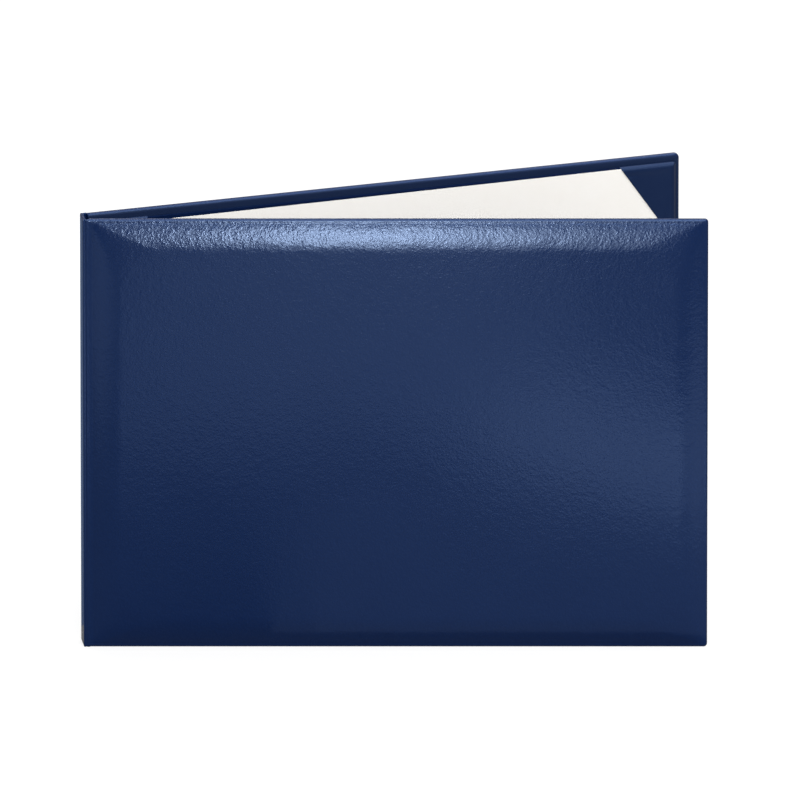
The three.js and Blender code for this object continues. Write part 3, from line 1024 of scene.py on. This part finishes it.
def pocket_path():
    """Points round a corner: how far each is along the long edge and the high edge, with the corner at 0, 0."""
    radius = POCKET_CORNER
    long_side = [(POCKET_LENGTH + (radius - POCKET_LENGTH) * step / POCKET_SIDE_STEPS, 0.0)
                 for step in range(POCKET_SIDE_STEPS)]
    arc = []
    for step in range(POCKET_ARC_STEPS + 1):
        angle = step / POCKET_ARC_STEPS * math.pi / 2
        arc.append((radius * (1 - math.sin(angle)), radius * (1 - math.cos(angle))))
    high_side = [(0.0, radius + (POCKET_HEIGHT - radius) * step / POCKET_SIDE_STEPS)
                 for step in range(1, POCKET_SIDE_STEPS + 1)]
    return long_side + arc + high_side


def pocket_point(path_point, inside):
    """A point of the path moved inside the edges, so that the ends follow the diagonal."""
    a, b = path_point
    along = a * (1 - inside / POCKET_HEIGHT) if a > POCKET_CORNER else max(a, inside)
    down = b * (1 - inside / POCKET_LENGTH) if b > POCKET_CORNER else max(b, inside)
    if a > POCKET_CORNER:
        along = max(along, inside)
    if b > POCKET_CORNER:
        down = max(down, inside)
    return along, down


def pocket(name, at_fore, side, node):
    corner_x = PANEL_END + POCKET_STAND if at_fore else PANEL_START - POCKET_STAND
    way_in = -1 if at_fore else 1
    path = pocket_path()
    grid = []
    for inside, depth in FOLD_LINE:
        row = [pocket_point(point, inside) for point in path]
        grid.append([(along, depth, down) for along, down in row])
    start_row = grid[-1]
    first, last = start_row[0], start_row[-1]
    deep = FOLD_LINE[-1][1]
    for step in range(1, POCKET_ROWS + 1):
        share = (step / POCKET_ROWS) ** 0.85
        row = []
        for i, (along, _, down) in enumerate(start_row):
            p = i / (len(start_row) - 1)
            end_along = first[0] + (last[0] - first[0]) * p
            end_down = first[2] + (last[2] - first[2]) * p
            x = along + (end_along - along) * share
            z = down + (end_down - down) * share
            to_edge = (1 - x / POCKET_LENGTH - z / POCKET_HEIGHT) / math.hypot(1 / POCKET_LENGTH, 1 / POCKET_HEIGHT)
            hem = HEM_RISE * (1 - smooth_step(to_edge, HEM_WIDTH - 0.5, HEM_WIDTH + 0.5))
            fold = -0.16 * (1 - smooth_step(to_edge, -0.2, 0.5))
            sag = 0.05 * noise.noise(Vector((x / 8, z / 8, 60.0 + side + 2 * way_in)))
            row.append((x, deep + hem + fold + sag * smooth_step(step, 0, 4), z))
        grid.append(row)
    placed = [[(corner_x + way_in * x, depth, side * (PANEL_HALF + POCKET_STAND - z)) for x, depth, z in row]
              for row in grid]
    piece = sheet_piece(name, placed, back_place, CLOTH, POCKET_CLOTH, (0, 1, 0))
    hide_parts(node)
    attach(piece, "back_cover")
    return piece


pocket("upper_fore_pocket", True, -1, "pocket_top_fore")
pocket("lower_fore_pocket", True, 1, "pocket_bottom_fore")
pocket("upper_spine_pocket", False, -1, "pocket_top_spine")
pocket("lower_spine_pocket", False, 1, "pocket_bottom_spine")
print("4 pockets folded")

# %% [markdown]
# The certificate
# The certificate is a landscape A4 sheet of ivory card. It has settled slightly askew in its pockets, and like any
# sheet held only at its corners it bows forward a little in the middle. A fine grid follows the bow, and the bow
# stays less than the gap to the front lining when the cover is closed.

# %% Slip in the certificate
SHEET_LENGTH = 297.0
SHEET_HEIGHT = 210.0
SHEET_THICKNESS = 0.25
SHEET_DEPTH = 5.35
SHEET_RAISE = 2.3
SHEET_TILT = math.radians(0.35)
SHEET_BOW = 0.35

sheet_grid = []
for j in range(43):
    v = 2 * j / 42 - 1
    row = []
    for i in range(61):
        u = 2 * i / 60 - 1
        x, z = u * SHEET_LENGTH / 2, v * SHEET_HEIGHT / 2
        bow = SHEET_BOW * (1 - u**2) * (1 - 0.6 * v**2)
        curl = 0.06 * noise.noise(Vector((u * 2.5, v * 2.5, 80.0))) * (1 - u**2)
        turned_x = x * math.cos(SHEET_TILT) + z * math.sin(SHEET_TILT)
        turned_z = z * math.cos(SHEET_TILT) - x * math.sin(SHEET_TILT)
        middle = (PANEL_START + PANEL_END) / 2
        row.append((middle + turned_x, SHEET_DEPTH + bow + curl, turned_z - SHEET_RAISE))
    sheet_grid.append(row)
certificate = sheet_piece("certificate", sheet_grid, back_place, IVORY, SHEET_THICKNESS, (0, 1, 0))
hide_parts("certificate_sheet")
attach(certificate, "back_cover")
print("certificate", SHEET_LENGTH, "by", SHEET_HEIGHT, "mm")

# %% [markdown]
# The core
# The boards, the foam, the spine's card and the panel are stiff, flat pieces whose CAD form is right as it is. They
# keep their solids and only take a finish, also where the skin hides them, so that a cut or an open view is right.

# %% Finish the core
CORE = {
    "front_board": GREYBOARD,
    "back_board": GREYBOARD,
    "spine_stiffener": GREYBOARD,
    "front_padding": FOAM,
    "back_padding": FOAM,
    "back_panel": PANEL_PAPER,
}
for name, finish in CORE.items():
    frame["nodes"][name].material_slots[0].material = finish
print(len(CORE), "solids carried over")
